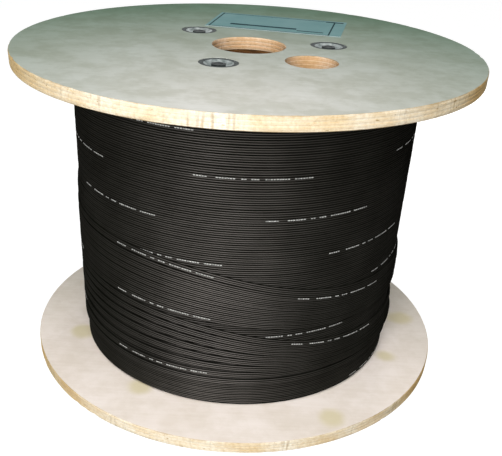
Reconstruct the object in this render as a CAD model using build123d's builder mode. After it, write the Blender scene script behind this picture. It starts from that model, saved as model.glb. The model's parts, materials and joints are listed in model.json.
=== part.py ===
from build123d import *

import math
import os

# A drum of flat fibre optic drop cable, standing on one flange.
# Units are millimetres. The drum's axis is Z, and its base lies at z = 0.

# Flanges
flange_diameter = 350.0
flange_thickness = 9.5
flange_edge_chamfer = 0.6
traverse_width = 230.0
arbor_hole_diameter = 55.0
drive_hole_diameter = 38.0
drive_hole_circle_diameter = 126.0
drive_hole_angle = -45.0

# Core and the hub discs that carry it
core_diameter = 200.0
core_wall = 5.0
hub_disc_thickness = 9.5
hub_disc_clearance = 0.2
hub_hole_margin = 1.0

# Cable and its winding
cable_width = 4.88
cable_thickness = 2.0
full_layers = 16
last_layer_start_share = 0.463
last_layer_low_side_angle = 6.0
winding_end_clearance = 0.3
winding_core_clearance = 0.1
turn_groove_depth = 0.5
turn_groove_half_width = 0.4

# Turns of the last layer, from the top down, which lie tilted and have slipped apart
# Each turn: its fall below the one before and its drop to the low side, in cable widths,
# and how far it climbs on the low side, in cable thicknesses
last_layer_turns = (
    (0.0, 3.18, 0.0),
    (1.07, 2.95, 0.0),
    (0.90, 2.71, 0.0),
    (0.90, 2.47, 0.0),
    (0.90, 2.23, 0.0),
    (0.90, 1.99, 0.0),
    (0.90, 1.76, 0.0),
    (0.90, 1.52, 0.0),
    (2.60, 2.97, 0.0),
    (1.05, 2.62, 0.0),
    (1.05, 2.27, 0.0),
    (1.06, 1.91, 0.0),
    (1.09, 1.39, 0.3),
    (1.13, 0.70, 0.7),
    (1.13, 0.0, 0.7),
    (1.39, 0.0, 0.0),
)
# Every other turn of the last layer stands this much higher
last_layer_step = 0.15

# Tie rods with their nuts and dished washers
rod_count = 3
rod_first_angle = 11.0
rod_circle_diameter = 124.0
rod_diameter = 6.0
rod_hole_clearance = 0.3
thread_clearance = 0.05
rod_end_setback = 0.2
nut_across_flats = 10.0
nut_thickness = 3.2
nut_chamfer = 0.5
washer_diameter = 28.0
washer_rim_width = 2.5
washer_floor_diameter = 13.6
washer_depth = 4.0
washer_sheet = 1.2
washer_setback = 0.2
washer_clearance = 0.3

# Paper label on the top flange
label_width = 112.0
label_height = 64.0
label_thickness = 0.2
label_corner_radius = 1.0
label_centre_x = 23.5
label_rim_distance = 89.5
label_turn = -10.5

# Levels along the axis
total_height = traverse_width + flange_thickness + flange_thickness
top_inner_level = flange_thickness + traverse_width
middle_plane = Plane.XY.offset(total_height / 2)

# Radii shared by the pieces that meet
flange_radius = flange_diameter / 2
arbor_hole_radius = arbor_hole_diameter / 2
drive_hole_radius = drive_hole_diameter / 2
drive_hole_circle_radius = drive_hole_circle_diameter / 2
rod_radius = rod_diameter / 2
rod_circle_radius = rod_circle_diameter / 2
rod_hole_radius = rod_radius + rod_hole_clearance
core_radius = core_diameter / 2
core_inner_radius = core_radius - core_wall
hub_disc_radius = core_inner_radius - hub_disc_clearance
washer_radius = washer_diameter / 2
washer_dish_radius = washer_radius - washer_rim_width
washer_floor_radius = washer_floor_diameter / 2

# Depths of the washer below the flange's face
rim_seat_depth = washer_setback + washer_sheet
washer_base_depth = washer_depth + washer_sheet
nut_face_depth = washer_depth - nut_thickness
rod_end_depth = nut_face_depth + rod_end_setback

os.makedirs("parts", exist_ok=True)


def write(piece, name):
    """Labels a finished piece and writes it as its own file."""
    piece.label = name
    export_step(piece, f"parts/{name}.step")


# Top flange: a plywood disc with the arbor hole, the drive hole and three washer pockets
with BuildPart() as top_flange:
    with BuildSketch(Plane.XY.offset(top_inner_level)):
        Circle(flange_radius)
        Circle(arbor_hole_radius, mode=Mode.SUBTRACT)
        with PolarLocations(drive_hole_circle_radius, 1, start_angle=drive_hole_angle):
            Circle(drive_hole_radius, mode=Mode.SUBTRACT)
        with PolarLocations(rod_circle_radius, rod_count, start_angle=rod_first_angle):
            Circle(rod_hole_radius, mode=Mode.SUBTRACT)
    extrude(amount=flange_thickness)
    rim_edges = top_flange.edges().filter_by(GeomType.CIRCLE).sort_by(SortBy.RADIUS)[-2:]
    chamfer(rim_edges, length=flange_edge_chamfer)
    with BuildSketch(Plane.XY.offset(total_height)):
        with PolarLocations(rod_circle_radius, rod_count, start_angle=rod_first_angle):
            Circle(washer_radius + washer_clearance)
    extrude(amount=-rim_seat_depth, mode=Mode.SUBTRACT)
    dish_depth = washer_base_depth + washer_clearance - rim_seat_depth
    with Locations(Plane.XY.offset(total_height - rim_seat_depth)):
        with PolarLocations(rod_circle_radius, rod_count, start_angle=rod_first_angle):
            Cone(
                washer_floor_radius + washer_clearance,
                washer_dish_radius + washer_clearance,
                dish_depth,
                align=(Align.CENTER, Align.CENTER, Align.MAX),
                mode=Mode.SUBTRACT,
            )
write(top_flange.part, "top_flange")

# Bottom flange: the same disc turned over
with BuildPart() as bottom_flange:
    mirror(top_flange.part, about=middle_plane)
write(bottom_flange.part, "bottom_flange")

# Hub disc: a second plywood disc on the flange's inner face, which centres the core
with BuildPart() as top_hub_disc:
    with BuildSketch(Plane.XY.offset(top_inner_level)):
        Circle(hub_disc_radius)
        Circle(arbor_hole_radius + hub_hole_margin, mode=Mode.SUBTRACT)
        with PolarLocations(drive_hole_circle_radius, 1, start_angle=drive_hole_angle):
            Circle(drive_hole_radius + hub_hole_margin, mode=Mode.SUBTRACT)
        with PolarLocations(rod_circle_radius, rod_count, start_angle=rod_first_angle):
            Circle(rod_hole_radius, mode=Mode.SUBTRACT)
    extrude(amount=-hub_disc_thickness)
write(top_hub_disc.part, "top_hub_disc")

with BuildPart() as bottom_hub_disc:
    mirror(top_hub_disc.part, about=middle_plane)
write(bottom_hub_disc.part, "bottom_hub_disc")

# Core: a plain tube between the flanges
with BuildPart() as core_tube:
    with BuildSketch(Plane.XY.offset(flange_thickness)):
        Circle(core_radius)
        Circle(core_inner_radius, mode=Mode.SUBTRACT)
    extrude(amount=traverse_width)
write(core_tube.part, "core_tube")

# Winding: full layers lie across the traverse, and the last layer covers the lower half
winding_width = traverse_width - winding_end_clearance - winding_end_clearance
turn_count = int(winding_width / cable_width)
turn_pitch = winding_width / turn_count
full_radius = core_radius + full_layers * cable_thickness
winding_bottom = flange_thickness + winding_end_clearance
winding_top = winding_bottom + winding_width
winding_inner_radius = core_radius + winding_core_clearance

winding_outline = []
for turn in range(turn_count):
    turn_bottom = winding_bottom + turn * turn_pitch
    turn_top = turn_bottom + turn_pitch
    winding_outline.append((full_radius - turn_groove_depth, turn_bottom))
    winding_outline.append((full_radius, turn_bottom + turn_groove_half_width))
    winding_outline.append((full_radius, turn_top - turn_groove_half_width))
winding_outline.append((full_radius - turn_groove_depth, winding_top))
winding_outline.append((winding_inner_radius, winding_top))
winding_outline.append((winding_inner_radius, winding_bottom))


def tilted_plane(height, drop):
    """A plane that crosses the axis at a height and drops to the low side by the winding's radius."""
    tilt = math.degrees(math.atan(drop / full_radius))
    return Plane(Location((0, 0, height), (0, 0, last_layer_low_side_angle)) * Location((0, 0, 0), (0, tilt, 0)))


def last_layer_turn(crest, climb, upper, lowers):
    """One turn of the last layer below its upper plane and above its lower ones, rooted in the layer below."""
    with BuildPart() as ring:
        with Locations(Location((0, 0, total_height / 2), (0, 0, last_layer_low_side_angle))):
            with Locations((climb / 2, 0)):
                Cylinder(crest + climb / 2, total_height)
            Cylinder(full_radius - cable_thickness, total_height, mode=Mode.SUBTRACT)
        split(bisect_by=upper, keep=Keep.BOTTOM)
        for lower in lowers:
            split(bisect_by=lower, keep=Keep.TOP)
    return ring.part


half_width = cable_width / 2
turn_levels = []
turn_height = winding_bottom + last_layer_start_share * winding_width
for fall, drop, climb_share in last_layer_turns:
    turn_height -= fall * cable_width
    turn_levels.append((turn_height, drop * cable_width, climb_share * cable_thickness))

# Each turn ends at its own lower plane, or sooner where the next turn lies
uppers = [tilted_plane(height + half_width, drop) for height, drop, climb in turn_levels]
lowers = [tilted_plane(height - half_width, drop) for height, drop, climb in turn_levels]
last_layer = []
for number, (height, drop, climb) in enumerate(turn_levels):
    crest = full_radius + cable_thickness + number % 2 * last_layer_step
    last_layer.append(last_layer_turn(crest, climb, uppers[number], [lowers[number]] + uppers[number + 1:number + 2]))

with BuildPart() as cable_winding:
    with BuildSketch(Plane.XZ):
        with BuildLine():
            Polyline(*winding_outline, close=True)
        make_face()
    revolve(axis=Axis.Z)
    for turn_ring in last_layer:
        add(turn_ring)
write(cable_winding.part, "cable_winding")

# Dished washer, with the flange's face at z = 0
with BuildPart() as washer_shape:
    with BuildSketch(Plane.XZ):
        with BuildLine():
            Polyline(
                (rod_hole_radius, -washer_depth),
                (washer_floor_radius - washer_sheet / 2, -washer_depth),
                (washer_dish_radius - washer_sheet / 2, -washer_setback),
                (washer_radius, -washer_setback),
                (washer_radius, -rim_seat_depth),
                (washer_dish_radius, -rim_seat_depth),
                (washer_floor_radius, -washer_base_depth),
                (rod_hole_radius, -washer_base_depth),
                close=True,
            )
        make_face()
    revolve(axis=Axis.Z)

# Thin hex nut that sits on the washer's floor, with the flange's face at z = 0
with BuildPart() as nut_shape:
    with BuildSketch(Plane.XY.offset(-washer_depth)):
        RegularPolygon(nut_across_flats / 2, 6, major_radius=False)
        Circle(rod_radius + thread_clearance, mode=Mode.SUBTRACT)
    extrude(amount=nut_thickness)
    nut_rim = nut_shape.faces().sort_by(Axis.Z)[-1].outer_wire().edges()
    chamfer(nut_rim, length=nut_chamfer)

# Three tie rods, each with a washer and a nut at both ends
rod_places = PolarLocations(rod_circle_radius, rod_count, start_angle=rod_first_angle)
for number, place in enumerate(rod_places, start=1):
    spot = Location((place.position.X, place.position.Y, total_height))
    with BuildPart() as top_washer:
        with Locations(spot):
            add(washer_shape.part)
    write(top_washer.part, f"top_washer_{number}")
    with BuildPart() as bottom_washer:
        mirror(top_washer.part, about=middle_plane)
    write(bottom_washer.part, f"bottom_washer_{number}")
    with BuildPart() as top_nut:
        with Locations(spot):
            add(nut_shape.part)
    write(top_nut.part, f"top_nut_{number}")
    with BuildPart() as bottom_nut:
        mirror(top_nut.part, about=middle_plane)
    write(bottom_nut.part, f"bottom_nut_{number}")
    with BuildPart() as tie_rod:
        with BuildSketch(Plane.XY.offset(rod_end_depth)):
            with Locations((place.position.X, place.position.Y)):
                Circle(rod_radius)
        extrude(amount=total_height - rod_end_depth - rod_end_depth)
    write(tie_rod.part, f"tie_rod_{number}")

# Label: a thin rounded rectangle on the top face
with BuildPart() as label:
    with BuildSketch(Plane.XY.offset(total_height)):
        with Locations((label_centre_x, flange_radius - label_rim_distance)):
            RectangleRounded(label_width, label_height, label_corner_radius, rotation=label_turn)
    extrude(amount=label_thickness)
write(label.part, "label")
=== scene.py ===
# %% [markdown]
# # A plywood drum of flat drop cable
# The drum is two plywood discs with a core between them, and over half a kilometre of flat black cable.
# The measured CAD model is the frame that everything here is built around.
# The pieces that the eye reads closely are modelled again, and the hidden ones only get a finish.

# %% Load the measured frame
import json
import math

import bpy
import numpy as np
from mathutils import Matrix, Vector


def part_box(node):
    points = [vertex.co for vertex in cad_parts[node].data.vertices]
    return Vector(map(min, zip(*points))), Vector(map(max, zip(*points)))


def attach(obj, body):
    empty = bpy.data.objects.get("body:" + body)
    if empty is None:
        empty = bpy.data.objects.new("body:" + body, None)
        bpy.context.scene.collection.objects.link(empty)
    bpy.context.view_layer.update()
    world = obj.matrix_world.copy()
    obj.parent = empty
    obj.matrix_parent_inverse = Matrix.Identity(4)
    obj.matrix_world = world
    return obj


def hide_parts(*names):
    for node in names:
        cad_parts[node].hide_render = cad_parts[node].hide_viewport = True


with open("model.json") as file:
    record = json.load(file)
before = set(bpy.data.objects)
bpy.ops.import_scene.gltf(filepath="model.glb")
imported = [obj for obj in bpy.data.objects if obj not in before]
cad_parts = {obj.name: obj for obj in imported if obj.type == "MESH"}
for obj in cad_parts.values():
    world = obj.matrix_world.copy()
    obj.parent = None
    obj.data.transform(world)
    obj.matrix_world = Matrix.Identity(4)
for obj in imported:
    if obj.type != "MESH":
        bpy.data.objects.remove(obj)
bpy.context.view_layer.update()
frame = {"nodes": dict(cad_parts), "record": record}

MM = 0.001

top_low, top_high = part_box("top_flange")
base_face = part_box("bottom_flange")[1].z
winding_low, winding_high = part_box("cable_winding")
flange_radius = top_high.x
ply_thickness = top_high.z - top_low.z
drum_height = top_high.z
print("flange radius", flange_radius, "ply", ply_thickness, "height", drum_height)

# %% [markdown]
# ## Camera
# The photo was taken from close by, a little above the top flange, looking down on it.
# Close viewing makes the top disc look wider than the bottom one, so the distance counts as much as the lens.
# The lens is shifted because the drum doesn't sit in the middle of the original frame.

# %% Set the camera
camera_place = Vector((0.0, -0.57994, 0.37162))
camera_pan = -0.0027
camera_tilt = 0.5572
camera_roll = 0.0499
sensor_width = 36
lens_length = 53.15
lens_shift = (0.0348, 0.1715)

ahead = Vector((
    math.sin(camera_pan) * math.cos(camera_tilt),
    math.cos(camera_pan) * math.cos(camera_tilt),
    -math.sin(camera_tilt),
))
level_right = Vector((math.cos(camera_pan), -math.sin(camera_pan), 0))
level_up = level_right.cross(ahead)
rolled_right = math.cos(camera_roll) * level_right + math.sin(camera_roll) * level_up
rolled_up = -math.sin(camera_roll) * level_right + math.cos(camera_roll) * level_up

bpy.ops.object.camera_add()
camera = bpy.context.object
turned = Matrix((rolled_right, rolled_up, -ahead)).transposed().to_4x4()
camera.matrix_world = Matrix.Translation(camera_place) @ turned
camera.data.sensor_width = sensor_width
camera.data.lens = lens_length
camera.data.shift_x, camera.data.shift_y = lens_shift
camera.data.clip_start = 10 * MM
bpy.context.scene.camera = camera
print("camera at", tuple(camera_place))

# %% [markdown]
# ## Tools for finishes
# Colours are picked as sRGB hex values, as a paint chart gives them, and shaders want linear light.
# Patterns are sized in millimetres, because that is how wood grain and dust are measured.
# Every shader node is added by one function, so a finish reads as a short list of layers.

# %% Shared tools for finishes
def linear(hex_colour):
    """Turns an sRGB hex colour into the linear colour that shaders use."""
    channels = [int(hex_colour[at:at + 2], 16) / 255 for at in (1, 3, 5)]
    return [c / 12.92 if c <= 0.04045 else ((c + 0.055) / 1.055) ** 2.4 for c in channels] + [1.0]


def per(millimetres):
    """Scale of a pattern whose marks are about this many millimetres apart."""
    return 1 / (millimetres * MM)


def add_node(tree, kind, inputs=None, stops=(), **settings):
    """Adds a shader node with its settings, its input values or links, and a colour ramp's stops.

    A node that is given as an input is linked by its first output.
    """
    made = tree.nodes.new("ShaderNode" + kind)
    for field, value in settings.items():
        setattr(made, field, value)
    for socket, value in (inputs or {}).items():
        if isinstance(value, bpy.types.Node):
            value = value.outputs[0]
        if isinstance(value, bpy.types.NodeSocket):
            tree.links.new(value, made.inputs[socket])
        else:
            made.inputs[socket].default_value = value
    for number, (place, colour) in enumerate(stops):
        if number in (0, len(stops) - 1):
            stop = made.color_ramp.elements[0 if number == 0 else -1]
            stop.position = place
        else:
            stop = made.color_ramp.elements.new(place)
        stop.color = linear(colour)
    return made


def new_finish(name):
    """Starts an empty material and returns it with its node tree."""
    finish = bpy.data.materials.new(name)
    finish.use_nodes = True
    finish.node_tree.nodes.clear()
    return finish, finish.node_tree


# %% [markdown]
# ## Floor
# The drum stands on a roll of matt paper, which carries its soft shadow and throws a little light back
# under the flanges. White paper would throw back too much, so the paper is grey,
# and what the camera and mirrors see of it is topped up to white.

# %% Lay the floor
floor_size = 14
floor_gap = 0.3 * MM
floor_top_up = 0.92


def seen_directly(tree):
    """One for rays from the camera, mirrors and glass, and zero for rays that only carry light."""
    rays = add_node(tree, "LightPath").outputs
    seen = add_node(tree, "Math", {0: rays["Is Camera Ray"], 1: rays["Is Glossy Ray"]}, operation="ADD")
    return add_node(tree, "Math", {0: seen, 1: rays["Is Transmission Ray"]}, operation="ADD", use_clamp=True)


bpy.ops.object.select_all(action="DESELECT")
bpy.ops.mesh.primitive_plane_add(size=floor_size, location=(0, 0, -floor_gap))
floor = bpy.context.object
floor.name = "studio_floor"

# Matt paper roll: the eye sees an even white that only darkens where the drum shades it
paper, tree = new_finish("white_paper_floor")
where = add_node(tree, "TexCoord").outputs["Object"]
glow = add_node(tree, "Math", {0: seen_directly(tree), 1: floor_top_up}, operation="MULTIPLY")
fibres = add_node(tree, "TexNoise", {"Vector": where, "Scale": per(40)})
paper_tone = add_node(tree, "ValToRGB", {"Fac": fibres}, stops=((0.3, "#8E8E8C"), (0.7, "#949492")))
paper_shader = add_node(tree, "BsdfPrincipled", {
    "Base Color": paper_tone,
    "Roughness": 0.9,
    "Specular IOR Level": 0.1,
    "Emission Color": linear("#FFFFFF"),
    "Emission Strength": glow,
})
add_node(tree, "OutputMaterial", {"Surface": paper_shader})
floor.data.materials.append(paper)
print("floor", floor_size, "m wide")

# %% [markdown]
# ## Light
# Three soft panels light the drum: one in front at eye level for the winding and the rims, a large one
# high up for the tops of the flanges, and a small low one behind, so that the back isn't lost in the dark.
# The room itself adds only a little light, though it looks white to the camera.

# %% Hang the lights
# Each soft panel: its place and width in metres, and its power in watts
soft_panels = {
    "front_panel": ((-0.18, -0.95, 0.43), 0.45, 7.2),
    "high_panel": ((-0.05, -0.9, 1.5), 0.9, 17),
    "back_panel": ((0.25, 1.05, 0.13), 0.22, 8),
}
drum_middle = Vector((0, 0, drum_height / 2))
for name, (place, width, power) in soft_panels.items():
    bpy.ops.object.light_add(type="AREA", location=place)
    panel = bpy.context.object
    panel.name = name
    panel.data.size = width
    panel.data.energy = power
    panel.rotation_euler = (drum_middle - Vector(place)).to_track_quat("-Z", "Y").to_euler()
    print("hung", name, power, "W")

room_light = 0.13
room_seen = 1
world = bpy.data.worlds.new("plain_room")
bpy.context.scene.world = world
world.use_nodes = True
tree = world.node_tree
tree.nodes.clear()
seen = seen_directly(tree)
room_level = add_node(tree, "MapRange", {"Value": seen, "To Min": room_light, "To Max": room_seen})
room = add_node(tree, "Background", {"Color": linear("#F4F6F8"), "Strength": room_level})
add_node(tree, "OutputWorld", {"Surface": room})
bpy.context.scene.view_settings.view_transform = "Standard"

# %% [markdown]
# ## Tools for pieces
# Blender's operators work on what is selected and active, so each tool here picks its piece first.
# A finished piece is closed, faces outward, and is handed over to the drum, and the CAD nodes that it
# stands for are hidden.

# %% Shared tools for pieces
doubled_within = 0.002 * MM


def pick(*pieces):
    """Selects these pieces and nothing else, with the first one active."""
    bpy.ops.object.select_all(action="DESELECT")
    for piece in pieces:
        piece.select_set(True)
    bpy.context.view_layer.objects.active = pieces[0]


def shape_with(piece, kind, **settings):
    """Adds a modifier to a piece, sets it and applies it."""
    bpy.context.view_layer.objects.active = piece
    bpy.ops.object.modifier_add(type=kind)
    modifier = piece.modifiers[-1]
    for field, value in settings.items():
        setattr(modifier, field, value)
    bpy.ops.object.modifier_apply(modifier=modifier.name)


def close_and_orient(piece):
    """Merges doubled points, closes open ends and turns every face outward."""
    pick(piece)
    bpy.ops.object.mode_set(mode="EDIT")
    bpy.ops.mesh.select_all(action="SELECT")
    bpy.ops.mesh.remove_doubles(threshold=doubled_within)
    bpy.ops.mesh.fill_holes(sides=0)
    bpy.ops.mesh.normals_make_consistent(inside=False)
    bpy.ops.object.mode_set(mode="OBJECT")


def smooth(piece, degrees):
    """Shades a piece smooth, apart from edges that are sharper than an angle."""
    pick(piece)
    bpy.ops.object.shade_smooth_by_angle(angle=math.radians(degrees))


def hand_over(piece, slot_name, *nodes):
    """Ties a finished piece to the drum and hides the CAD nodes it stands for. The slot name is not used."""
    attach(piece, "root")
    if nodes:
        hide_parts(*nodes)
    print("made", piece.name, len(piece.data.polygons), "faces")


# %% [markdown]
# ## The flat cable
# A flat drop cable is a figure of eight squeezed flat: a body with the fibre, and a thin round
# messenger wire beside it, joined by a narrow web. Its section is drawn once here, in millimetres,
# as steps along the drum's axis and out from it.
# Winding it is the same as screwing that section round the axis, so a Screw modifier makes the strand.
# Each ring of its points is then laid on the path that the real turn takes.

# %% Draw the cable's section and the winding tool
cable_width = 4.88 * MM
cable_thickness = 2.0 * MM
cable_section = (
    (-2.40, -0.75), (-2.40, 0.70), (-2.14, 0.98), (-1.24, 1.00),
    (-0.94, 0.70), (-0.64, 1.00), (0.28, 0.98), (0.56, 0.70),
    (0.68, 0.15), (0.86, 0.60), (1.26, 0.88), (1.80, 0.88),
    (2.22, 0.55), (2.40, 0.00), (2.22, -0.60), (0.76, -0.75),
)
section_along = np.array([point[0] for point in cable_section]) * MM
section_out = np.array([point[1] for point in cable_section]) * MM
ridge_crests = (3, 6, 11)
# The upper edges of the ridges, where the sheath's painted highlight lines go
section_highlight_crest = np.isin(np.arange(len(cable_section)), ridge_crests).astype(float)
full_radius = 132 * MM


def on_strand(path, turns, along, out):
    """Places section points on a strand: turns from the front, along the axis and out from it."""
    radius, height, roll = path(turns)
    reach = radius + along * np.sin(roll) + out * np.cos(roll)
    level = height + along * np.cos(roll) - out * np.sin(roll)
    angle = 2 * math.pi * turns
    return np.stack((reach * np.sin(angle), -reach * np.cos(angle), level), axis=-1)


def wind_strand(name, path, first_turn, last_turn, steps_per_turn):
    """Screws the cable's section round the axis and lays its rings on a path."""
    bpy.ops.object.select_all(action="DESELECT")
    bpy.ops.mesh.primitive_circle_add(vertices=len(cable_section), radius=cable_width / 2)
    strand = bpy.context.object
    strand.name = name
    for corner, along, out in zip(strand.data.vertices, section_along, section_out):
        corner.co = (full_radius + out, 0, along)
    turn_count = last_turn - first_turn
    steps = round(steps_per_turn * turn_count)
    shape_with(strand, "SCREW", angle=2 * math.pi * turn_count, screw_offset=cable_width * turn_count,
               steps=steps, render_steps=steps, use_merge_vertices=False)
    rings = len(strand.data.vertices) // len(cable_section)
    turns = np.linspace(first_turn, last_turn, rings)[:, None]
    places = on_strand(path, turns, section_along[None, :], section_out[None, :])
    strand.data.vertices.foreach_set("co", places.ravel())
    # Marks the ridge crests that the sheath finish paints as highlight lines
    highlight_crest = strand.data.attributes.new("highlight_crest", "FLOAT", "POINT")
    highlight_crest.data.foreach_set("value", np.tile(section_highlight_crest, rings))
    close_and_orient(strand)
    smooth(strand, degrees=42)
    return strand


# %% [markdown]
# ## The neat layer
# The last full layer was wound by a traversing machine, so its turns lie edge to edge, like thread on
# a bobbin. The helix rises to the right by one cable width in each turn. One printed line that shows well
# fixes its height, and a bulge on the left shows where a turn below has slipped.
# A little wobble keeps the light lines on it from looking ruled.

# %% Wind the neat layer
neat_anchor_turn = 37 - 13.9 / 360
neat_anchor_height = 194.47 * MM
neat_first_turn = neat_anchor_turn - (neat_anchor_height - winding_low.z - cable_width / 2) / cable_width
neat_last_turn = neat_anchor_turn + (winding_high.z - cable_width / 2 - neat_anchor_height) / cable_width
neat_middle_turn = 18.0
neat_wobble = 0.10 * MM
neat_tilt = math.radians(2.5)
bulge_turn = -0.22
bulge_reach_turns = 0.09
bulge_height = 143 * MM
bulge_half_height = 9 * MM
bulge_lift = 1.4 * MM
open_steps = 150
covered_steps = 128


def wander(turns, seed, slowest=0.37, fastest=7.0, waves=9):
    """A smooth seeded wobble along a strand, between about minus one and one."""
    usual_peak = 4
    random = np.random.default_rng(seed)
    total = np.zeros_like(turns)
    for cycles in np.linspace(slowest, fastest, waves):
        total += np.sin(2 * math.pi * (cycles * turns + random.random()))
    return total / usual_peak


def neat_path(turns):
    """Radius, height and roll of the neat layer's strand."""
    height = neat_anchor_height + cable_width * (turns - neat_anchor_turn)
    around = (turns - bulge_turn + 0.5) % 1 - 0.5
    bulge = np.exp(-(around / bulge_reach_turns) ** 2 - ((height - bulge_height) / bulge_half_height) ** 4)
    radius = full_radius - cable_thickness / 2 + bulge_lift * bulge + neat_wobble * wander(turns, 3)
    roll = neat_tilt * wander(turns, 5)
    return radius, height + neat_wobble * wander(turns, 4), roll


upper_turns = wind_strand("upper_neat_turns", neat_path, neat_middle_turn, neat_last_turn, open_steps)
lower_turns = wind_strand("lower_neat_turns", neat_path, neat_first_turn, neat_middle_turn, covered_steps)
print("neat turns", neat_last_turn - neat_first_turn)

# %% [markdown]
# ## The last layer
# The top layer was laid by hand and covers only the lower half. Its turns lie level on the left,
# drop across the front and run level again on the right, lower down. Each moves on to the next at the back.
# Some have slipped, which opens gaps on the left and piles the cable up low on the right.
# Where a turn has no room beside the one before, it climbs on it and tilts.

# %% Wind the last layer
last_first_turn = -0.45
last_last_turn = 15.45
last_start_height = 116.0 * MM
# Each turn from the top down: its fall below the one before, and its drop to the right, in cable widths
turn_falls = (0, 1.07, 0.90, 0.90, 0.90, 0.90, 0.90, 0.90, 2.60, 1.05, 1.05, 1.06, 1.09, 1.13, 1.13, 1.39)
turn_drops = (3.18, 2.95, 2.71, 2.47, 2.23, 1.99, 1.76, 1.52, 2.97, 2.62, 2.27, 1.91, 1.39, 0.70, 0, 0)
turn_numbers = np.arange(len(turn_falls))
turn_heights = last_start_height - np.cumsum(turn_falls) * cable_width
drop_centre = math.radians(6)
drop_steepness = 1.8
moving_on_share = 0.25
climb_from = 0.3
climb_over = 0.27
climb_lift = 1.4 * MM
climb_tilt = math.radians(16)
last_tilt = math.radians(3)
last_wobble = 0.12 * MM
last_sway = 0.22 * MM


def ease(share):
    """Smooth step from 0 to 1."""
    held = np.clip(share, 0, 1)
    return held * held * (3 - 2 * held)


def last_height(turns):
    """Height of the last layer's strand before it makes room for itself."""
    whole = np.floor(turns + 0.5)
    passed = turns + 0.5 - whole
    arriving = ease(passed / moving_on_share)
    leaving = ease((passed - 1 + moving_on_share) / moving_on_share)
    number = whole - 0.5 + 0.5 * arriving + 0.5 * leaving
    height = np.interp(number, turn_numbers, turn_heights)
    drop = np.interp(number, turn_numbers, turn_drops) * cable_width
    side = np.tanh(drop_steepness * np.sin(2 * math.pi * turns - drop_centre)) / math.tanh(drop_steepness)
    return height - drop * side


def last_path(turns):
    """Radius, height and roll of the last layer's strand."""
    height = last_height(turns)
    room = last_height(turns - 1) - height
    climbing = np.clip((cable_width - room) / cable_width, 0, 1) * ease(turns - last_first_turn - 1)
    lift = climb_lift * ease((climbing - climb_from) / climb_over)
    roll = climb_tilt * 4 * climbing * (1 - climbing) + last_tilt * wander(turns, 8)
    radius = full_radius + cable_thickness / 2 + lift + last_wobble * wander(turns, 6)
    return radius, height + last_sway * wander(turns, 7, fastest=4.0), roll


last_turns = wind_strand("last_layer_turns", last_path, last_first_turn, last_last_turn, open_steps)
print("last layer turns", last_last_turn - last_first_turn)

# %% [markdown]
# ## The layers below
# Nothing shows of the fifteen layers underneath except the dark behind the gaps.
# One turned sleeve stands for them, so that no light comes through between the turns.
# A lathe is a Screw modifier that goes round once without rising, and it will turn the flanges as well.

# %% Turn the inner layers
sleeve_overlap = 0.3 * MM
sleeve_radius = full_radius - cable_thickness + sleeve_overlap
core_gap = 0.1 * MM
sleeve_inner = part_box("core_tube")[1].x + core_gap
sleeve_segments = 128
seam_within = 0.001 * MM


def turn_on_lathe(name, outline, segments):
    """Turns a closed outline of (radius, height) points round the Z axis, as on a lathe."""
    bpy.ops.object.select_all(action="DESELECT")
    bpy.ops.mesh.primitive_circle_add(vertices=len(outline), radius=1)
    turned_piece = bpy.context.object
    turned_piece.name = name
    for corner, (radius, height) in zip(turned_piece.data.vertices, outline):
        corner.co = (radius, 0, height)
    shape_with(turned_piece, "SCREW", steps=segments, render_steps=segments,
               use_merge_vertices=True, merge_threshold=seam_within)
    close_and_orient(turned_piece)
    return turned_piece


inner_layers = turn_on_lathe("inner_layers", (
    (sleeve_inner, winding_low.z),
    (sleeve_radius, winding_low.z),
    (sleeve_radius, winding_high.z),
    (sleeve_inner, winding_high.z),
), sleeve_segments)
smooth(inner_layers, degrees=30)
print("inner layers out to", sleeve_radius)

# %% [markdown]
# ## Black sheath
# The sheath is black low-smoke plastic, pressed out of a die in one go. It is matt and faintly pebbled.
# The light from the front catches the crest of each ridge, and that highlight is painted into the colour
# as fine grey lines, palest on the front side: a painted sheen. The winding tool marked each crest with an
# attribute, which the finish reads. A texture alone couldn't follow the turns so closely.

# %% Make the sheath finish
# Extruded black polyolefin: matt and nearly black, with painted grey highlight lines on its ridges, palest on
# the front (a painted sheen)
# The direction is divided by the radius, so its dot product with a place on the winding is a cosine
sheen_side = (-0.1 / full_radius, -0.995 / full_radius, 0)
sheen_spread = 16
sheen_elsewhere = 0.15
ridge_sharpness = 2.2
sheath, tree = new_finish("black_drop_cable_sheath")
where = add_node(tree, "TexCoord").outputs["Object"]
sheath_patches = add_node(tree, "TexNoise", {"Vector": where, "Scale": per(30), "Detail": 4})
sheath_tone = add_node(tree, "ValToRGB", {"Fac": sheath_patches}, stops=((0.35, "#161612"), (0.7, "#1B1B17")))

# Painted sheen: the crests are lightened most where the winding faces the front light, and less elsewhere
facing = add_node(tree, "VectorMath", {0: where, 1: sheen_side}, operation="DOT_PRODUCT").outputs["Value"]
facing = add_node(tree, "Math", {0: facing, 1: 0}, operation="MAXIMUM")
sheen_falloff = add_node(tree, "Math", {0: facing, 1: sheen_spread}, operation="POWER")
sheen_falloff = add_node(tree, "Math", {0: sheen_falloff, 1: 1 - sheen_elsewhere, 2: sheen_elsewhere},
                   operation="MULTIPLY_ADD")
crest = add_node(tree, "Attribute", attribute_name="highlight_crest").outputs["Fac"]
crest = add_node(tree, "Math", {0: crest, 1: ridge_sharpness}, operation="POWER")
patchy = add_node(tree, "MapRange", {"Value": sheath_patches, "From Min": 0.3, "From Max": 0.65, "To Min": 0.7})
# The painted highlight: grey lines on the crests, strongest on the front and broken up by the patches
painted_highlight = add_node(tree, "Math", {0: sheen_falloff, 1: crest}, operation="MULTIPLY")
painted_highlight = add_node(tree, "Math", {0: painted_highlight, 1: patchy}, operation="MULTIPLY")
sheath_colour = add_node(tree, "MixRGB", {"Fac": painted_highlight, "Color1": sheath_tone, "Color2": linear("#76716D")})

sheath_rub = add_node(tree, "MapRange", {
    "Value": sheath_patches, "From Min": 0.3, "From Max": 0.7, "To Min": 0.46, "To Max": 0.56,
})
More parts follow.
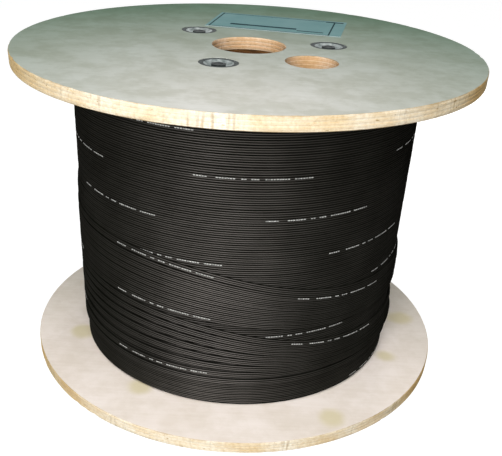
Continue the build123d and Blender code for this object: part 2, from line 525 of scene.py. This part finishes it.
# The real pebbling is about a tenth of a millimetre, drawn coarser so that it isn't lost between pixels
pebbles = add_node(tree, "TexNoise", {"Vector": where, "Scale": per(0.8)})
pebble_bump = add_node(tree, "Bump", {"Height": pebbles, "Strength": 0.25, "Distance": 0.05 * MM})
sheath_shader = add_node(tree, "BsdfPrincipled", {
    "Base Color": sheath_colour,
    "Roughness": sheath_rub,
    "Specular IOR Level": 0.0,
    "Normal": pebble_bump,
})
add_node(tree, "OutputMaterial", {"Surface": sheath_shader})

for wound in (upper_turns, lower_turns, last_turns, inner_layers):
    wound.data.materials.append(sheath)
    hand_over(wound, "cable_sheath", "cable_winding")

# %% [markdown]
# ## The printed marks
# A printer on the production line puts the same short line of marks on the cable once in every metre.
# That metre gives the drum its real size. The marks are plain blocks, in groups with gaps between them.
# One line of them is cut from a grid: its columns are block, gap, block, gap, and the gaps are deleted.

# %% Cut one line of marks
mark_line_length = 80 * MM
mark_height = 0.75 * MM
mark_offset = -0.18 * MM
mark_block = 1.45 * MM
mark_gap = 0.4 * MM
mark_groups = ((0, 0.12), (0.185, 0.36), (0.39, 0.43), (0.47, 0.54), (0.58, 0.785), (0.825, 1))

block_edges = []
for group_start, group_end in mark_groups:
    edge = group_start * mark_line_length
    while edge + mark_block <= group_end * mark_line_length + mark_gap:
        block_edges += [edge, edge + mark_block]
        edge += mark_block + mark_gap
column_count = len(block_edges)

bpy.ops.object.select_all(action="DESELECT")
bpy.ops.mesh.primitive_grid_add(x_subdivisions=column_count - 1, y_subdivisions=1, size=1)
mark_line = bpy.context.object
bpy.ops.object.mode_set(mode="EDIT")
bpy.ops.mesh.select_mode(type="FACE")
bpy.ops.mesh.select_all(action="DESELECT")
bpy.ops.object.mode_set(mode="OBJECT")
for cell in mark_line.data.polygons:
    cell.select = cell.index % 2 == 1
bpy.ops.object.mode_set(mode="EDIT")
bpy.ops.mesh.delete(type="FACE")
bpy.ops.object.mode_set(mode="OBJECT")
mark_along = np.tile(np.array(block_edges), 2)
mark_across = np.repeat(np.array((-0.5, 0.5)) * mark_height, column_count) + mark_offset
print("blocks in a line", len(mark_line.data.polygons))

# %% [markdown]
# ## Printing along the strands
# The line is copied along both strands at one metre steps, and each copy is bent on to its turn.
# The top turns were pulled on a little where the strand meets the flange, so their lines come early.
# Lines that the last layer hides on the left are skipped, because they would show in its gaps.

# %% Print the marks
neat_mark_step = 427.74 / 360
last_mark_step = 419.9 / 360
last_first_mark = -40.8 / 360
slipped_from_turn = 42
slip = 13.2 / 360
neat_end_margin = 0.1
last_end_margin = 0.5
ink_film = 0.05 * MM
ink_gap = 0.01 * MM


def copy_of(piece, name):
    """Copies a piece, with a mesh of its own."""
    copy = piece.copy()
    copy.data = piece.data.copy()
    copy.name = name
    bpy.context.collection.objects.link(copy)
    return copy


def print_line(path, start_turn, middle_radius):
    """Copies the line of marks on to a strand, from a turn onward."""
    line = copy_of(mark_line, "printed_line")
    turns = start_turn + mark_along / (2 * math.pi * middle_radius)
    places = on_strand(path, turns, mark_across, section_out.max() + ink_gap)
    line.data.vertices.foreach_set("co", places.ravel())
    line.data.update()
    return line


neat_radius = full_radius - cable_thickness / 2
last_radius = full_radius + cable_thickness / 2
neat_back = math.floor((neat_anchor_turn - neat_first_turn) / neat_mark_step)
neat_first_mark = neat_anchor_turn - neat_back * neat_mark_step
neat_starts = np.arange(neat_first_mark, neat_last_turn - neat_end_margin, neat_mark_step)
neat_starts[neat_starts > slipped_from_turn] -= slip
around_drum = neat_starts - np.floor(neat_starts + 0.5)
covered = (around_drum < 0) & (neat_path(neat_starts)[1] < last_height(around_drum))
last_starts = np.arange(last_first_mark, last_last_turn - last_end_margin, last_mark_step)
printed = [print_line(neat_path, start, neat_radius) for start in neat_starts[~covered]]
printed += [print_line(last_path, start, last_radius) for start in last_starts]
bpy.data.objects.remove(mark_line)

pick(*printed)
bpy.ops.object.join()
marks = bpy.context.object
marks.name = "printed_marks"
shape_with(marks, "SOLIDIFY", thickness=ink_film, offset=1)
close_and_orient(marks)
print("printed lines", len(printed))

# %% [markdown]
# ## Marking ink
# The marks are pigment ink on a surface that doesn't drink it, so they are thin and broken.
# Many plain finishes are like that: a colour that drifts between a few tones, at a size that can be measured.
# One function makes them all, from a noise texture that may be stretched, and a colour ramp.

# %% Make the marking ink
def drifting_finish(name, spacing, detail, tones, shine):
    """A finish that drifts between tones, with marks this many millimetres apart along X, Y and Z."""
    finish, tree = new_finish(name)
    where = add_node(tree, "TexCoord").outputs["Object"]
    stretched = add_node(tree, "Mapping", {"Vector": where, "Scale": [per(apart) for apart in spacing]})
    drift = add_node(tree, "TexNoise", {"Vector": stretched, "Scale": 1, "Detail": detail})
    tone = add_node(tree, "ValToRGB", {"Fac": drift}, stops=tones)
    shader = add_node(tree, "BsdfPrincipled", {"Base Color": tone, **shine})
    add_node(tree, "OutputMaterial", {"Surface": shader})
    return finish


# White pigment ink: laid thin on black, so it is broken and slightly grey where it did not take
marking_tones = ((0.32, "#6E6E6B"), (0.6, "#C6C6C2"))
marking_ink = drifting_finish("white_marking_ink", (1.5, 1.5, 1.5), 3, marking_tones, {"Roughness": 0.7})
marks.data.materials.append(marking_ink)
hand_over(marks, "cable_sheath")

# %% [markdown]
# ## The plywood flanges
# Each flange is a disc sawn from seven-ply board. The saw leaves the plies a hair proud of each other.
# A cylinder with a bump would look flat along its edge, so the ply stack is turned on the lathe,
# which gives the rim and the arbor hole in one go.

# %% Turn the flange
mounts = {mount["name"]: mount for mount in frame["record"]["mounts"]}
arbor_radius = mounts["arbor_bore"]["dims"]["r_mm"] * MM
ply_count = 7
glue_line = 0.07 * MM
arris = 0.5 * MM
ply_set_back = np.array((0.16, 0.0, 0.22, 0.05, 0.2, 0.02, 0.14)) * MM
ply_step = ply_thickness / ply_count
flange_segments = 420


def ply_wall(radius, into_wood):
    """Outline of a sawn ply wall from the bottom up, with each ply set back a hair into the wood."""
    wall = [(radius + into_wood * arris, 0)]
    for ply, set_back in enumerate(ply_set_back):
        lowest = ply * ply_step + (arris if ply == 0 else glue_line)
        highest = (ply + 1) * ply_step - (arris if ply + 1 == ply_count else glue_line)
        wall += [(radius + into_wood * set_back, lowest), (radius + into_wood * set_back, highest)]
    return wall + [(radius + into_wood * arris, ply_thickness)]


flange_outline = ply_wall(flange_radius, -1) + ply_wall(arbor_radius, 1)[::-1]
flange_outline = [(radius, top_low.z + height) for radius, height in flange_outline]
top_flange = turn_on_lathe("top_plywood_flange", flange_outline, flange_segments)
print("flange turned from", len(flange_outline), "points")

# %% [markdown]
# ## Worn rim
# A drum is rolled over yards, so its rim is rubbed unevenly, and chips are knocked out of the outer arris.
# The points of the rim are pulled in by a wobble and by a few seeded dents, which shows in the outline too.

# %% Wear the rim
rim_seed = 11
rim_rub = 0.09 * MM
rub_waves_round = 3
rub_waves_per_metre = 400
chip_count = 16
# How wide the chips are, in radians round the rim, and how deep, in millimetres
chip_width_range = (0.006, 0.018)
chip_depth_range = (0.3, 0.9)
chip_height = 1.3 * MM


def wear_rim(flange, seed):
    """Rubs the rim unevenly and knocks a few chips out of its arris."""
    random = np.random.default_rng(seed)
    chip_angles = random.uniform(-math.pi, math.pi, chip_count)
    chip_widths = random.uniform(*chip_width_range, chip_count)
    chip_depths = random.uniform(*chip_depth_range, chip_count) * MM
    corners = np.empty(len(flange.data.vertices) * 3)
    flange.data.vertices.foreach_get("co", corners)
    corners = corners.reshape(-1, 3)
    reach = np.hypot(corners[:, 0], corners[:, 1])
    angle = np.arctan2(corners[:, 1], corners[:, 0])
    on_rim = reach > flange_radius - 2 * arris
    near_face = corners[:, 2] > top_high.z - chip_height
    along_rim = angle / (2 * math.pi) * rub_waves_round + corners[:, 2] * rub_waves_per_metre
    rub = rim_rub * (1 + wander(along_rim, seed))
    for chip_angle, width, depth in zip(chip_angles, chip_widths, chip_depths):
        off = (angle - chip_angle + math.pi) % (2 * math.pi) - math.pi
        rub += depth * np.exp(-(off / width) ** 2) * near_face
    share = np.where(on_rim, 1 - rub / reach, 1)
    corners[:, 0] *= share
    corners[:, 1] *= share
    flange.data.vertices.foreach_set("co", corners.ravel())
    flange.data.update()


wear_rim(top_flange, rim_seed)
print("chips in the rim", chip_count)

# %% [markdown]
# ## Bored holes
# A drill and a counterbore make the drive hole, the rod holes and the washers' pockets.
# Boolean cutters do the same here, at the places that the CAD model gives.
# Each point then keeps how far it lies through the board, so the finish can draw the plies in both flanges.
# The bottom flange is a copy of the top one, turned over.

# %% Bore the flange and copy it
rod_numbers = (1, 2, 3)
rod_places = []
for number in rod_numbers:
    rod_low, rod_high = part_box(f"tie_rod_{number}")
    rod_places.append((rod_low + rod_high) / 2)
washer_low, washer_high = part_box("top_washer_1")
washer_radius = (washer_high.x - washer_low.x) / 2
drive_radius = mounts["drive_hole"]["dims"]["r_mm"] * MM
drive_place = mounts["drive_hole"]["pos_m"]
rod_hole_radius = 3.3 * MM
pocket_gap = 0.15 * MM
pocket_radius = washer_radius + pocket_gap
pocket_floor_gap = 0.2 * MM
pocket_floor = washer_low.z - pocket_floor_gap
overrun = 2 * MM
cutter_sides = 96


def bore(piece, radius, centre, lowest, highest):
    """Bores a round hole between two levels with a boolean cutter."""
    bpy.ops.object.select_all(action="DESELECT")
    bpy.ops.mesh.primitive_cylinder_add(vertices=cutter_sides, radius=radius, depth=highest - lowest,
                                        location=(centre[0], centre[1], (highest + lowest) / 2))
    cutter = bpy.context.object
    shape_with(piece, "BOOLEAN", object=cutter, solver="EXACT")
    bpy.data.objects.remove(cutter)


bore(top_flange, drive_radius, drive_place, top_low.z - overrun, top_high.z + overrun)
for place in rod_places:
    bore(top_flange, pocket_radius, place, pocket_floor, top_high.z + overrun)
    bore(top_flange, rod_hole_radius, place, top_low.z - overrun, top_high.z)
close_and_orient(top_flange)

through_ply = top_flange.data.attributes.new("through_ply", "FLOAT", "POINT")
for corner, share in zip(top_flange.data.vertices, through_ply.data):
    share.value = (corner.co.z - top_low.z) / ply_thickness

bottom_flange = copy_of(top_flange, "bottom_plywood_flange")
turned_over = Matrix.Translation((0, 0, drum_height)) @ Matrix.Scale(-1, 4, (0, 0, 1))
bottom_flange.data.transform(turned_over)
close_and_orient(bottom_flange)
print("holes bored in each flange", 1 + len(rod_places))

# %% [markdown]
# ## Veneer
# The faces are thin peeled veneer, sanded once: pale, nearly white, with a faint grain along the board.
# Handling leaves soft clouds and mottles. Away from the lit front edge the faces take a painted cool shade,
# strongest on the top.
# The finish is built up in layers: the wood first, then each stain and the painted shade over it, and last
# the knots.

# %% Make the veneer
veneer_grain = 2.2
grain_turn = math.radians(8)
lit_front = (0, -0.16, drum_height)
knot_ragged = 14 * MM
knot_fade = 9


def veneer_finish(name, pale, warm, stain, shade_tint, shade_from, shade_to, knots=(), knot_colour="#DDD0A6"):
    """Peeled poplar veneer: grain along X, clouds, mottles, a painted cool shade away from the lit front, and
    knots.
    """
    finish, tree = new_finish(name)
    where = add_node(tree, "TexCoord").outputs["Object"]
    along = add_node(tree, "Mapping", {
        "Vector": where, "Scale": (per(60), per(veneer_grain), per(10)), "Rotation": (0, 0, grain_turn),
    })
    grain = add_node(tree, "TexNoise", {"Vector": along, "Scale": 1, "Detail": 5, "Distortion": 0.6})
    cloud = add_node(tree, "TexNoise", {"Vector": where, "Scale": per(45), "Detail": 4})
    clouded = add_node(tree, "ValToRGB", {"Fac": cloud}, stops=((0.35, stain), (0.65, "#FFFFFF")))
    mottle = add_node(tree, "TexNoise", {"Vector": where, "Scale": per(20), "Detail": 6, "Roughness": 0.65})
    mottled = add_node(tree, "ValToRGB", {"Fac": mottle}, stops=((0.40, stain), (0.58, "#FFFFFF")))
    # Painted shade: a cool tint that grows with distance from the lit front edge
    from_front = add_node(tree, "VectorMath", {0: where, 1: lit_front}, operation="DISTANCE")
    painted_shade = add_node(tree, "MapRange", {
        "Value": from_front.outputs["Value"], "From Min": shade_from, "From Max": shade_to,
    })
    colour = add_node(tree, "ValToRGB", {"Fac": grain}, stops=((0.3, warm), (0.62, pale)))
    for share, tint in ((1, clouded), (1, mottled), (painted_shade, linear(shade_tint))):
        layer = {"Fac": share, "Color1": colour, "Color2": tint}
        colour = add_node(tree, "MixRGB", layer, blend_type="MULTIPLY")
    for knot_x, knot_y, reach in knots:
        middle = (knot_x * MM, knot_y * MM, base_face)
        away = add_node(tree, "VectorMath", {0: where, 1: middle}, operation="DISTANCE").outputs["Value"]
        ragged = add_node(tree, "Math", {0: cloud, 1: knot_ragged, 2: away}, operation="MULTIPLY_ADD")
        knot = add_node(tree, "MapRange", {
            "Value": ragged, "From Min": (reach + knot_fade) * MM, "From Max": reach * MM, "To Max": 0.75,
        }, interpolation_type="SMOOTHSTEP")
        colour = add_node(tree, "MixRGB", {"Fac": knot, "Color1": colour, "Color2": linear(knot_colour)})
    fuzz = add_node(tree, "Bump", {"Height": grain, "Strength": 0.06, "Distance": 0.1 * MM})
    shader = add_node(tree, "BsdfPrincipled", {
        "Base Color": colour, "Roughness": 0.75, "Specular IOR Level": 0.03, "Normal": fuzz,
    })
    add_node(tree, "OutputMaterial", {"Surface": shader})
    print("veneer", name, "with", len(knots), "knots")
    return finish


# Peeled poplar face: pale at the front, and a painted grey-green shade toward the back
top_veneer = veneer_finish("top_poplar_veneer_painted_shade", pale="#E6E5DF", warm="#E2E1DA", stain="#F0F0EC",
                           shade_tint="#88A694", shade_from=0.03, shade_to=0.31)
# The sheltered lower face is cleaner: a pinkish cream with yellow knots. Each knot: x, y and reach in mm
base_knots = ((77, -140, 12), (130, -54, 10), (153, 10, 13), (-133, -39, 12), (-72, -115, 11))
# Its back, under the top flange, also takes a faint painted cool shade
base_veneer = veneer_finish("clean_poplar_veneer", pale="#FCF1E8", warm="#F8ECE2", stain="#F7F6F3",
                            shade_tint="#DCE2DA", shade_from=0.30, shade_to=0.42, knots=base_knots)

# %% [markdown]
# ## Sawn plies
# The sawn edge shows the stack of plies. Every other ply shows its end grain, which drinks more light.
# Between them run thin glue lines, and gaps in the core plies show as dark dashes.
# The saw leaves upright marks, and the rim is dirty along both edges, with a painted yellow shade at its
# sides.
# Each of these is one layer, and the attribute "through_ply" tells which ply a point lies in.

# %% Make the sawn plies
dirt_spread = 0.35
front_way = (0, -1 / flange_radius, 0)
glue_share = 0.12


def sawn_ply_finish(name, long_grain, end_grain, glue, void, side_shade_tint):
    """Sawn edge of a ply stack: grain in turn, glue lines, gaps, saw marks, dirty edges and painted shade on
    the sides.
    """
    finish, tree = new_finish(name)
    where = add_node(tree, "TexCoord").outputs["Object"]
    through = add_node(tree, "Attribute", attribute_name="through_ply").outputs["Fac"]
    plies = add_node(tree, "Math", {0: through, 1: ply_count}, operation="MULTIPLY")
    within = add_node(tree, "Math", {0: plies}, operation="FRACT")
    number = add_node(tree, "Math", {0: plies}, operation="FLOOR")
    odd = add_node(tree, "Math", {0: number, 1: 2}, operation="FLOORED_MODULO")
    glued = add_node(tree, "ValToRGB", {"Fac": within}, stops=(
        (0.0, glue), (glue_share, "#FFFFFF"), (1 - glue_share, "#FFFFFF"), (1.0, glue),
    ))
    fibre = add_node(tree, "TexNoise", {"Vector": where, "Scale": per(2.5), "Detail": 5, "Roughness": 0.7})
    fibre_tone = add_node(tree, "ValToRGB", {"Fac": fibre}, stops=((0.3, "#EBE1D0"), (0.6, "#FFFFFF")))
    patch = add_node(tree, "TexNoise", {"Vector": where, "Scale": per(35), "Detail": 2})
    patch_tone = add_node(tree, "ValToRGB", {"Fac": patch}, stops=((0.35, "#F1E3CB"), (0.6, "#FFFFFF")))
    # Painted shade: the sides of the rim, turned away from the front, take a yellow tint
    frontness = add_node(tree, "VectorMath", {0: where, 1: front_way}, operation="DOT_PRODUCT")
    painted_side_shade = add_node(tree, "MapRange", {
        "Value": frontness.outputs["Value"], "From Min": 0.88, "From Max": 0.5,
    })

    lengthwise = add_node(tree, "Mapping", {"Vector": where, "Scale": (per(7), per(7), per(1.6))})
    gaps = add_node(tree, "TexNoise", {"Vector": lengthwise, "Scale": 1, "Detail": 1})
    gaps = add_node(tree, "MapRange", {"Value": gaps, "From Min": 0.75, "From Max": 0.78})
    upright = add_node(tree, "Mapping", {"Vector": where, "Scale": (per(2.4), per(2.4), per(25))})
    sawn = add_node(tree, "TexNoise", {"Vector": upright, "Scale": 1, "Detail": 2})
    sawn = add_node(tree, "Math", {0: sawn, 1: patch}, operation="MULTIPLY")
    sawn = add_node(tree, "MapRange", {"Value": sawn, "From Min": 0.30, "From Max": 0.42, "To Max": 0.5})
    from_middle = add_node(tree, "Math", {0: through, 1: 0.5}, operation="SUBTRACT")
    from_middle = add_node(tree, "Math", {0: from_middle}, operation="ABSOLUTE")
    knocks = add_node(tree, "TexNoise", {"Vector": where, "Scale": per(14), "Detail": 4})
    dirt = add_node(tree, "Math", {0: knocks, 1: dirt_spread, 2: from_middle}, operation="MULTIPLY_ADD")
    dirt = add_node(tree, "MapRange", {"Value": dirt, "From Min": 0.60, "From Max": 0.72, "To Max": 0.8})

    wood = add_node(tree, "MixRGB", {"Fac": odd, "Color1": linear(long_grain), "Color2": linear(end_grain)})
    for share, tint in ((1, glued), (1, fibre_tone), (1, patch_tone), (painted_side_shade, linear(side_shade_tint))):
        layer = {"Fac": share, "Color1": wood, "Color2": tint}
        wood = add_node(tree, "MixRGB", layer, blend_type="MULTIPLY")
    for share in (gaps, sawn, dirt):
        wood = add_node(tree, "MixRGB", {"Fac": share, "Color1": wood, "Color2": linear(void)})
    rough = add_node(tree, "Bump", {"Height": fibre, "Strength": 0.3, "Distance": 0.2 * MM})
    shader = add_node(tree, "BsdfPrincipled", {
        "Base Color": wood, "Roughness": 0.8, "Specular IOR Level": 0.05, "Normal": rough,
    })
    add_node(tree, "OutputMaterial", {"Surface": shader})
    print("sawn plies", name)
    return finish


# Sawn rim in daylight: cream long grain over slightly darker end grain, with a painted yellow shade at the
# sides
rim_ply = sawn_ply_finish("sawn_ply_rim", "#F3EDDF", "#EFE7D6", "#EEE6D2", "#A08458", "#EFE1C1")
# Inside the holes the light has bounced off wood, so the plies look more orange
hole_ply = sawn_ply_finish("sawn_ply_hole", "#F6DFC4", "#EFD0AE", "#DFB88E", "#A67B4C", "#FFFFFF")

# %% [markdown]
# ## Dressing the flanges
# A board has veneer on its faces and plies on its sawn walls, and the tiny ledges between plies are wall too.
# So a face takes the veneer only if it is level and lies at one of the board's two surfaces.
# The washers' pockets are out of sight and take it as well.

# %% Dress the flanges
level_face = 0.9
rim_band = 3 * MM
pocket_reach = washer_radius + 1 * MM
boards = (
    (top_flange, top_veneer, "top_flange"),
    (bottom_flange, base_veneer, "bottom_flange"),
)
for flange, veneer, node in boards:
    finishes = (veneer, rim_ply, hole_ply)
    for finish in finishes:
        flange.data.materials.append(finish)
    face_levels = [corner.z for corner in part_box(node)]
    for face in flange.data.polygons:
        in_pocket = min((face.center.xy - place.xy).length for place in rod_places) < pocket_reach
        off_face = min(abs(face.center.z - level) for level in face_levels)
        if in_pocket or (abs(face.normal.z) > level_face and off_face < arris / 2):
            finish = veneer
        elif face.center.xy.length > flange_radius - rim_band:
            finish = rim_ply
        else:
            finish = hole_ply
        face.material_index = finishes.index(finish)
    smooth(flange, degrees=25)
    hand_over(flange, "plywood", node)

# %% [markdown]
# ## Dished washers and nuts
# Each tie rod ends in a pressed steel dish let into the flange, with a thin hex nut sunk in it,
# so that nothing stands proud when the drum rolls. The dish is turned once, with its sharp pressed edges
# rounded by a bevel, and then copied to the six rod ends. The nut is a six-sided bar, bevelled and bored.

# %% Press a washer and a nut
# Outline of the dish in millimetres: out from the rod, and up from the flange's face
washer_outline = (
    (3.3, -4.0), (6.2, -4.0), (10.9, -0.2), (14.0, -0.2),
    (14.0, -1.4), (11.5, -1.4), (6.8, -5.2), (3.3, -5.2),
)
washer_segments = 72
pressed_edge = 0.35 * MM
washer_points = [(radius * MM, height * MM) for radius, height in washer_outline]
washer_master = turn_on_lathe("washer_master", washer_points, washer_segments)
shape_with(washer_master, "BEVEL", width=pressed_edge, segments=2, angle_limit=math.radians(30))
smooth(washer_master, degrees=35)

nut_flats = 10 * MM
nut_thickness = 3.2 * MM
nut_seat = 4.0 * MM
nut_hole_radius = 3.05 * MM
nut_edge = 0.45 * MM
bpy.ops.object.select_all(action="DESELECT")
bpy.ops.mesh.primitive_cylinder_add(vertices=6, radius=nut_flats / 2 / math.cos(math.pi / 6),
                                    depth=nut_thickness, location=(0, 0, nut_thickness / 2 - nut_seat))
nut_master = bpy.context.object
nut_master.name = "nut_master"
bpy.ops.object.transform_apply(location=True, rotation=True, scale=True)
shape_with(nut_master, "BEVEL", width=nut_edge, segments=2)
bore(nut_master, nut_hole_radius, (0, 0), -nut_seat - overrun, overrun)
close_and_orient(nut_master)
smooth(nut_master, degrees=30)
print("washer faces", len(washer_master.data.polygons), "nut faces", len(nut_master.data.polygons))

# %% [markdown]
# ## Zinc and oil
# The washers are stamped from zinc plated sheet. Their flat rims are finished nearly black and not metallic,
# and the dishes pale and shining, so the two get their own finishes.
# The nuts and rods are dark, lightly oiled steel.

# %% Make the metal finishes
def steel_finish(name, bright, dull, smoothest, roughest, bare=1.0):
    """Plated or oiled steel, with soft blotches of passivation and dirt."""
    finish, tree = new_finish(name)
    where = add_node(tree, "TexCoord").outputs["Object"]
    blotch = add_node(tree, "TexNoise", {"Vector": where, "Scale": per(4), "Detail": 4})
    tone = add_node(tree, "ValToRGB", {"Fac": blotch}, stops=((0.3, dull), (0.65, bright)))
    wear = add_node(tree, "MapRange", {
        "Value": blotch, "From Min": 0.3, "From Max": 0.7, "To Min": roughest, "To Max": smoothest,
    })
    shader = add_node(tree, "BsdfPrincipled", {"Base Color": tone, "Metallic": bare, "Roughness": wear})
    add_node(tree, "OutputMaterial", {"Surface": shader})
    print("metal", name)
    return finish


# Zinc plate in the dish: pale and softly shining, with duller blotches
dish_zinc = steel_finish("bright_zinc_dish", "#B4BAB7", "#6E7674", 0.38, 0.5)
# The same plate on the flat rim: nearly black, without the shine of metal
rim_zinc = steel_finish("dark_zinc_rim", "#353B39", "#232826", 0.6, 0.75, bare=0.0)
# Oiled steel of the nuts and rods: dark grey metal with a dull shine
rod_steel = steel_finish("dark_threaded_steel", "#3C413F", "#1E2221", 0.4, 0.6)

# %% [markdown]
# ## Hardware in place
# The same washer and nut sit at both ends of each rod, upside down at the bottom.
# Every copy has a mesh of its own with its place in it, and stands for one CAD node.
# The rods keep their CAD meshes, since only their ends show.

# %% Set the hardware in place
rim_from = 9.6 * MM
washer_master.data.materials.append(dish_zinc)
washer_master.data.materials.append(rim_zinc)
for face in washer_master.data.polygons:
    face.material_index = int(face.center.xy.length > rim_from)
nut_master.data.materials.append(rod_steel)


def refinish(node, finish):
    """Gives a CAD node that keeps its mesh a new finish."""
    slots = frame["nodes"][node].data.materials
    slots.clear()
    slots.append(finish)
    print("finished", node)


for number, place in zip(rod_numbers, rod_places):
    for end, level, tip in (("top", drum_height, 0), ("bottom", 0, math.pi)):
        seat = Matrix.Translation((place.x, place.y, level)) @ Matrix.Rotation(tip, 4, "X")
        for master, kind in ((washer_master, "washer"), (nut_master, "nut")):
            copy = copy_of(master, f"{end}_{kind}_{number}_dressed")
            copy.data.transform(seat)
            hand_over(copy, "zinc_steel", f"{end}_{kind}_{number}")
    refinish(f"tie_rod_{number}", rod_steel)
bpy.data.objects.remove(washer_master)
bpy.data.objects.remove(nut_master)

# %% [markdown]
# ## The label
# A film label is stuck to the back half of the top flange, with a plain border and a few plain bars on it.
# The film is a thin sheet, and each bar is a thin strip that lies on it, so its edge is sharp from any side.
# A strip of bare paper runs along its lower edge.

# %% Cut and print the label
label_low, label_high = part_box("label")
label_middle = (label_low + label_high) / 2
label_width = 112 * MM
label_height = 64 * MM
label_turn = math.radians(-10.5)
label_film = label_high.z - label_low.z
print_film = 0.04 * MM
paper_strip = 1.2 * MM
paper_strip_middle = -31.2 * MM
# Each printed strip: middle across and up the label, width and height, in millimetres
printed_strips = (
    (-53, 0, 1.2, 60), (46, -2, 1.3, 56), (-3.5, 28, 99, 1.2), (-3.5, -29.7, 99, 1.0),
    (-10, -15, 56, 5.0), (46, 26.5, 15, 3.5), (30, -21, 22, 2.4),
)


def cut_sheet(name, centre, width, height, level, thickness):
    """Cuts a flat strip in the label's own directions and gives it its thickness."""
    bpy.ops.object.select_all(action="DESELECT")
    bpy.ops.mesh.primitive_cube_add(size=1)
    strip = bpy.context.object
    strip.name = name
    laid = Matrix.Translation((label_middle.x, label_middle.y, level + thickness / 2))
    laid = laid @ Matrix.Rotation(label_turn, 4, "Z") @ Matrix.Translation((centre[0], centre[1], 0))
    strip.data.transform(laid @ Matrix.Diagonal((width, height, thickness, 1)))
    return strip


label = cut_sheet("film_label", (0, 0), label_width, label_height, label_low.z, label_film)
strips = []
for across, up, width, height in np.array(printed_strips) * MM:
    strips.append(cut_sheet("label_print", (across, up), width, height, label_high.z, print_film))
pick(*strips)
bpy.ops.object.join()
label_print = bpy.context.object
paper_edge = cut_sheet("label_paper_edge", (0, paper_strip_middle), label_width, paper_strip,
                       label_high.z, print_film / 2)
print("strips on the label", len(strips))

# %% [markdown]
# ## Film, ink and paper
# The label is white paper under a tinted film, printed with one dark ink.
# All three are thin, even coats, so they only drift a little in tone, and none of them shines.

# %% Finish the label
# Tinted film over white paper: a cool blue-green that is a little uneven where the glue holds it
film = drifting_finish("teal_label_film", (25, 25, 25), 3, ((0.3, "#6B9595"), (0.7, "#799F9F")),
                       {"Roughness": 0.5, "Specular IOR Level": 0.03})
# Screen ink on the film: a dark blue-green, thinner in places
label_ink = drifting_finish("dark_label_ink", (6, 6, 6), 2, ((0.35, "#0E2A2E"), (0.7, "#1E4246")),
                            {"Roughness": 0.6, "Specular IOR Level": 0.03})
# Bare paper along the cut edge: off-white with faint fibres
bare_paper = drifting_finish("bare_label_paper", (3, 3, 3), 2, ((0.3, "#D5DCDA"), (0.7, "#E6EAE8")),
                             {"Roughness": 0.7, "Specular IOR Level": 0.1})

label_pieces = (
    (label, film, ("label",)),
    (label_print, label_ink, ()),
    (paper_edge, bare_paper, ()),
)
for piece, finish, nodes in label_pieces:
    piece.data.materials.append(finish)
    hand_over(piece, "label_paper", *nodes)

# %% [markdown]
# ## The hidden pieces
# The hub discs show as a second ring of plies inside the holes, and the core tube only as a dark wall
# far down. They keep their CAD meshes, and each gets the finish of what it is cut from.

# %% Finish the hub discs and the core
# Rough hub plywood: the same sawn wood, painted dark with the shade it sits in deep inside the holes
hub_tones = ((0.32, "#4A3018"), (0.55, "#6E4A28"), (0.75, "#8E6238"))
hub_ply = drifting_finish("shaded_hub_plywood", (9, 9, 1.4), 4, hub_tones,
                          {"Roughness": 0.85, "Specular IOR Level": 0.2})
# Spiral wound fibreboard: brown paper layers with a faint band that runs round the tube
board_tones = ((0.3, "#6E5236"), (0.7, "#92704C"))
tube_board = drifting_finish("brown_fibreboard_tube", (40, 40, 12), 3, board_tones, {"Roughness": 0.85})
for node, finish in (("top_hub_disc", hub_ply), ("bottom_hub_disc", hub_ply), ("core_tube", tube_board)):
    refinish(node, finish)
